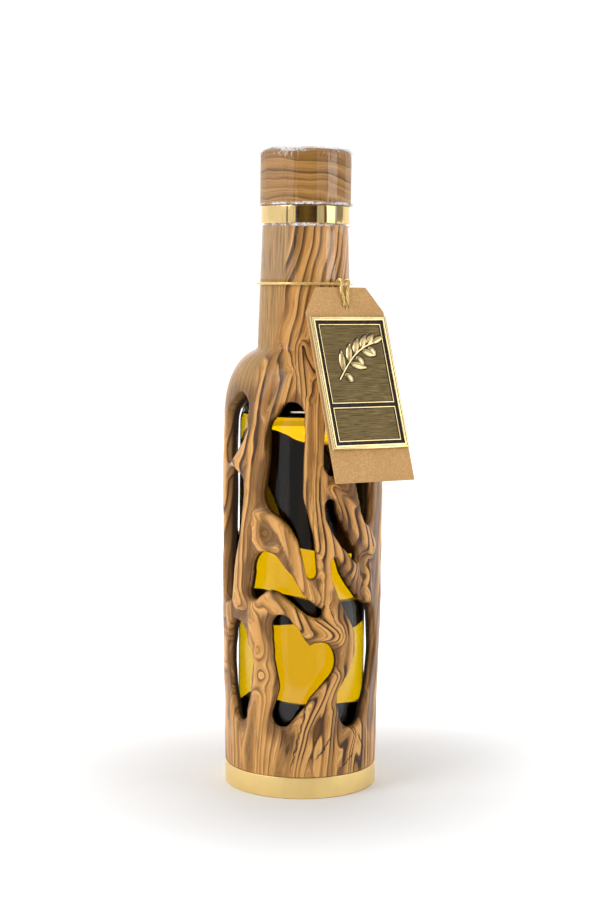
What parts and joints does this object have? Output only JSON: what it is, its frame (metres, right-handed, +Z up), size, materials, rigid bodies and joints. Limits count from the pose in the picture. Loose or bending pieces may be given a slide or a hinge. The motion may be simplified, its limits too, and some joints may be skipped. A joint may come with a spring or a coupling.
{
  "type": "olive oil bottle",
  "caption": "Slim glass bottle of olive oil in a carved, pierced wood case with a gold foot band and neck ring, wooden cap under clear film, and a paper tag with a brass plate on a gold cord",
  "frame": {"origin": "middle of the round gold foot, on the surface that the bottle stands on", "axes": "+Z up along the bottle, -Y toward the front, +X to the right as seen from the front"},
  "size_m": [0.0812, 0.0882, 0.2765],
  "materials": {
    "satin_gold": "satin gold plated metal, fine turned marks",
    "olive_wood": "sanded and oiled olive wood with dark brown veins",
    "clear_glass": "clear smooth glass",
    "oil": "clear golden yellow oil",
    "polished_gold": "mirror polished gold plated metal",
    "cap_wood": "smooth olive wood, grain running across",
    "clear_film": "thin clear shrink film, glossy",
    "gold_cord": "metallic gold elastic cord",
    "kraft_card": "matt brown kraft card",
    "antique_brass": "brushed brass with black patina in its recesses, bright raised frame"
  },
  "bodies": {
    "root": {"base_band": "satin_gold", "wood_case": "olive_wood", "glass_bottle": "clear_glass", "olive_oil": "oil", "neck_ring": "polished_gold", "wood_cap": "cap_wood", "cap_film": "clear_film", "neck_cord": "gold_cord", "tag_hitch": "gold_cord", "tag_card": "kraft_card", "tag_plate": "antique_brass"}
  },
  "joints": []
}
